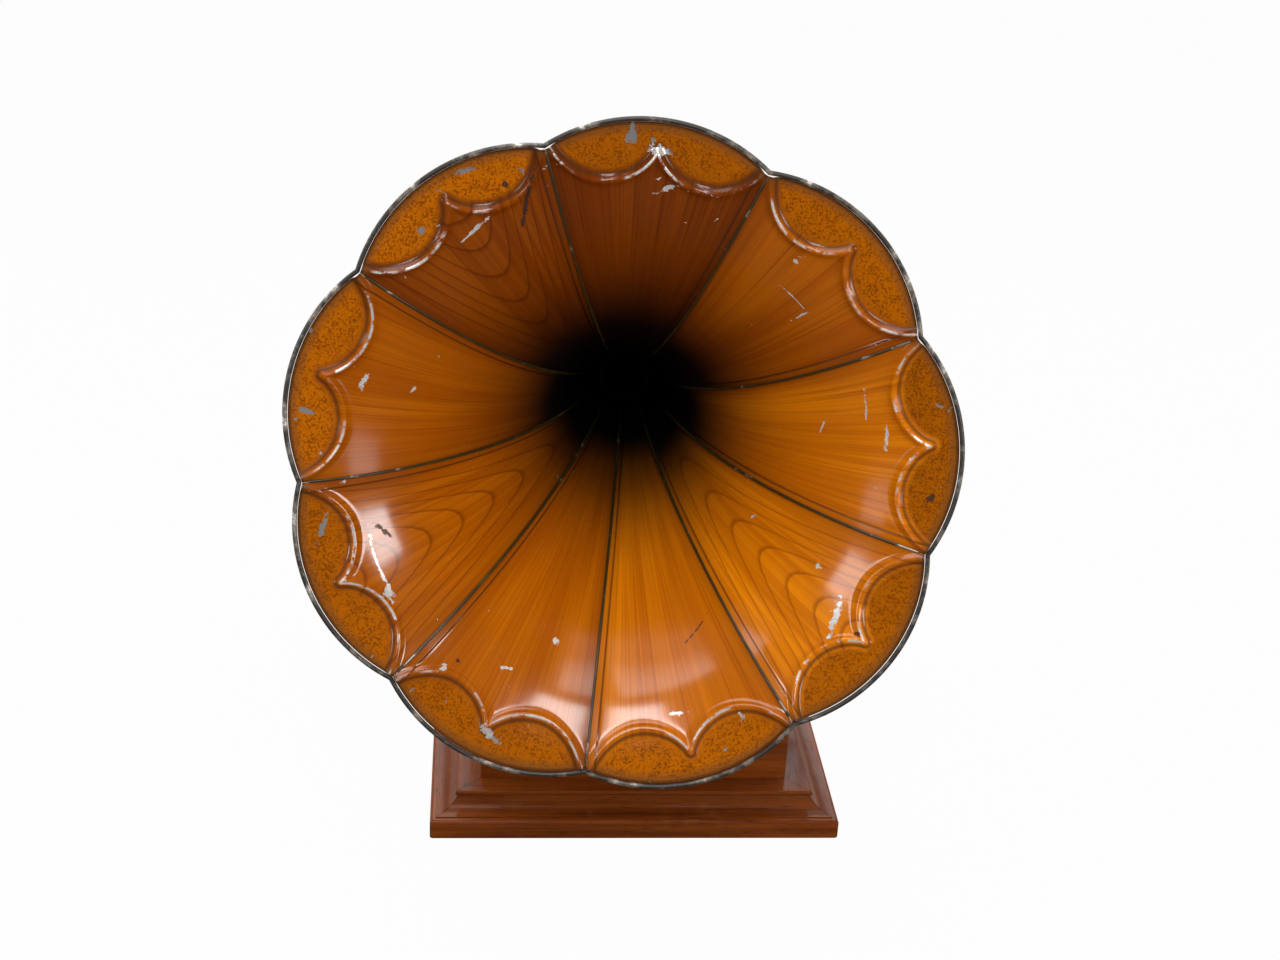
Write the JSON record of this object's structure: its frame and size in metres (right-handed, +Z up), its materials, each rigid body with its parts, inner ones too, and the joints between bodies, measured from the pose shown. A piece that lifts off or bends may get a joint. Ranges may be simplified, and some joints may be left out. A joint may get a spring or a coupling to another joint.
{
  "type": "gramophone",
  "caption": "Table gramophone with an outside petal horn painted as wood grain, stepped mahogany base, turntable, tone arm, sound box and wind-up spring motor.",
  "frame": {"origin": "centre of the underside of the base, on the table", "axes": "+Z up, the horn opens towards -Y, the crank is on the +X side"},
  "size_m": [0.4985, 0.6009, 0.6313],
  "materials": {
    "mahogany": "satin polish",
    "plain_wood": "bare",
    "horn_paint": "grained and varnished",
    "seam_paint": "gloss",
    "tin": "worn tin",
    "black_enamel": "gloss",
    "nickel": "worn plate",
    "brass": "aged",
    "steel": "oiled",
    "iron": "rough",
    "felt": "matt",
    "rubber": "matt",
    "mica": "clear flake"
  },
  "bodies": {
    "case": {"base_rails": "mahogany", "cove_rails": "mahogany", "bottom_board": "plain_wood", "case_front": "mahogany", "case_back": "mahogany", "case_left": "mahogany", "case_right": "mahogany", "corner_blocks": "plain_wood", "cornice_rails": "mahogany", "motor_board": "mahogany", "wood_screws": "brass", "crank_bush": "brass", "horn_bracket": "black_enamel", "motor_top_plate": "iron", "motor_bottom_plate": "iron", "motor_pillars": "steel", "motor_bolts": "steel", "governor_bearings": "iron"},
    "horn": {"horn_petal_1": "horn_paint", "horn_petal_2": "horn_paint", "horn_petal_3": "horn_paint", "horn_petal_4": "horn_paint", "horn_petal_5": "horn_paint", "horn_petal_6": "horn_paint", "horn_petal_7": "horn_paint", "horn_petal_8": "horn_paint", "horn_petal_9": "horn_paint", "petal_seams": "seam_paint", "rim_wire": "tin", "horn_collar": "brass", "horn_elbow": "black_enamel"},
    "clamp": {"thumb_screw": "brass"},
    "arm": {"tone_arm": "nickel"},
    "soundbox": {"gooseneck": "nickel", "soundbox_back": "nickel", "soundbox_body": "nickel", "soundbox_gaskets": "rubber", "diaphragm": "mica", "needle_bar": "nickel", "needle": "steel"},
    "chuck_screw": {"needle_screw": "nickel"},
    "platter": {"turntable": "nickel", "turntable_felt": "felt", "spindle": "steel"},
    "barrel": {"spring_barrel": "brass", "barrel_cover": "brass", "mainspring": "steel"},
    "winding_arbor": {"barrel_arbor": "steel"},
    "click": {"winding_click": "steel"},
    "intermediate": {"intermediate_arbor": "steel"},
    "governor": {"governor_shaft": "steel", "governor_springs": "steel", "governor_weights": "brass"},
    "friction_disc": {"governor_disc": "brass"},
    "speed_control": {"speed_knob": "brass", "friction_arm": "steel"},
    "brake": {"brake_lever": "nickel"},
    "crank": {"winding_shaft": "steel", "crank_arm": "nickel"},
    "grip": {"crank_knob": "mahogany"}
  },
  "joints": [
    {"name": "horn_swivel", "type": "hinge", "parent": "case", "child": "horn", "pos_m": [0, 0.17, 0.24], "axis": [0, 0, 1], "continuous": true},
    {"name": "thumb_screw_turn", "type": "hinge", "parent": "case", "child": "clamp", "pos_m": [0.033, 0.17, 0.235], "axis": [1, 0, 0], "range_deg": [0, 360]},
    {"name": "tone_arm_swing", "type": "hinge", "parent": "case", "child": "arm", "pos_m": [0, 0.17, 0.19], "axis": [0, 0, 1], "range_deg": [-30, 0]},
    {"name": "soundbox_flip", "type": "hinge", "parent": "arm", "child": "soundbox", "pos_m": [0.08163, 0.07934, 0.19], "axis": [0.7431, 0.6691, 0], "range_deg": [0, 105.5]},
    {"name": "needle_screw_turn", "type": "hinge", "parent": "soundbox", "child": "chuck_screw", "pos_m": [0.08084, 0.0832, 0.25618], "axis": [0.7431, 0.6691, 0], "range_deg": [0, 360]},
    {"name": "turntable_spin", "type": "hinge", "parent": "case", "child": "platter", "pos_m": [0, -0.01, 0.145], "axis": [0, 0, 1], "continuous": true},
    {"name": "intermediate_spin", "type": "hinge", "parent": "case", "child": "intermediate", "pos_m": [0, 0.032, 0.08], "axis": [0, 0, 1], "continuous": true},
    {"name": "barrel_spin", "type": "hinge", "parent": "case", "child": "barrel", "pos_m": [0.049, 0.032, 0.06], "axis": [0, 0, 1], "continuous": true},
    {"name": "governor_spin", "type": "hinge", "parent": "case", "child": "governor", "pos_m": [0, -0.03024, 0.064], "axis": [1, 0, 0], "continuous": true},
    {"name": "friction_disc_slide", "type": "slide", "parent": "governor", "child": "friction_disc", "axis": [1, 0, 0], "range_m": [0, 0.0015], "stiffness_N_per_m": 400},
    {"name": "crank_spin", "type": "hinge", "parent": "case", "child": "crank", "pos_m": [0.15, 0.032, 0.1], "axis": [1, 0, 0], "continuous": true},
    {"name": "crank_grip_spin", "type": "hinge", "parent": "crank", "child": "grip", "pos_m": [0.2, 0.032, 0.184], "axis": [1, 0, 0], "continuous": true},
    {"name": "winding_arbor_spin", "type": "hinge", "parent": "case", "child": "winding_arbor", "pos_m": [0.049, 0.032, 0.09], "axis": [0, 0, 1], "continuous": true},
    {"name": "click_rock", "type": "hinge", "parent": "case", "child": "click", "pos_m": [0.074, 0.052, 0.115], "axis": [0, 0, 1], "range_deg": [0, 15], "stiffness_Nm_per_rad": 0.02},
    {"name": "speed_control_turn", "type": "hinge", "parent": "case", "child": "speed_control", "pos_m": [-0.096, -0.096, 0.145], "axis": [0, 0, 1], "range_deg": [-3, 1]},
    {"name": "brake_swing", "type": "hinge", "parent": "case", "child": "brake", "pos_m": [0.1, -0.1, 0.145], "axis": [0, 0, 1], "range_deg": [0, 35]}
  ],
  "couplings": [
    {"joint": "intermediate_spin", "follows": "turntable_spin", "ratio": -0.2},
    {"joint": "barrel_spin", "follows": "turntable_spin", "ratio": 0.033333},
    {"joint": "governor_spin", "follows": "turntable_spin", "ratio": -12},
    {"joint": "winding_arbor_spin", "follows": "crank_spin", "ratio": 0.33333}
  ]
}
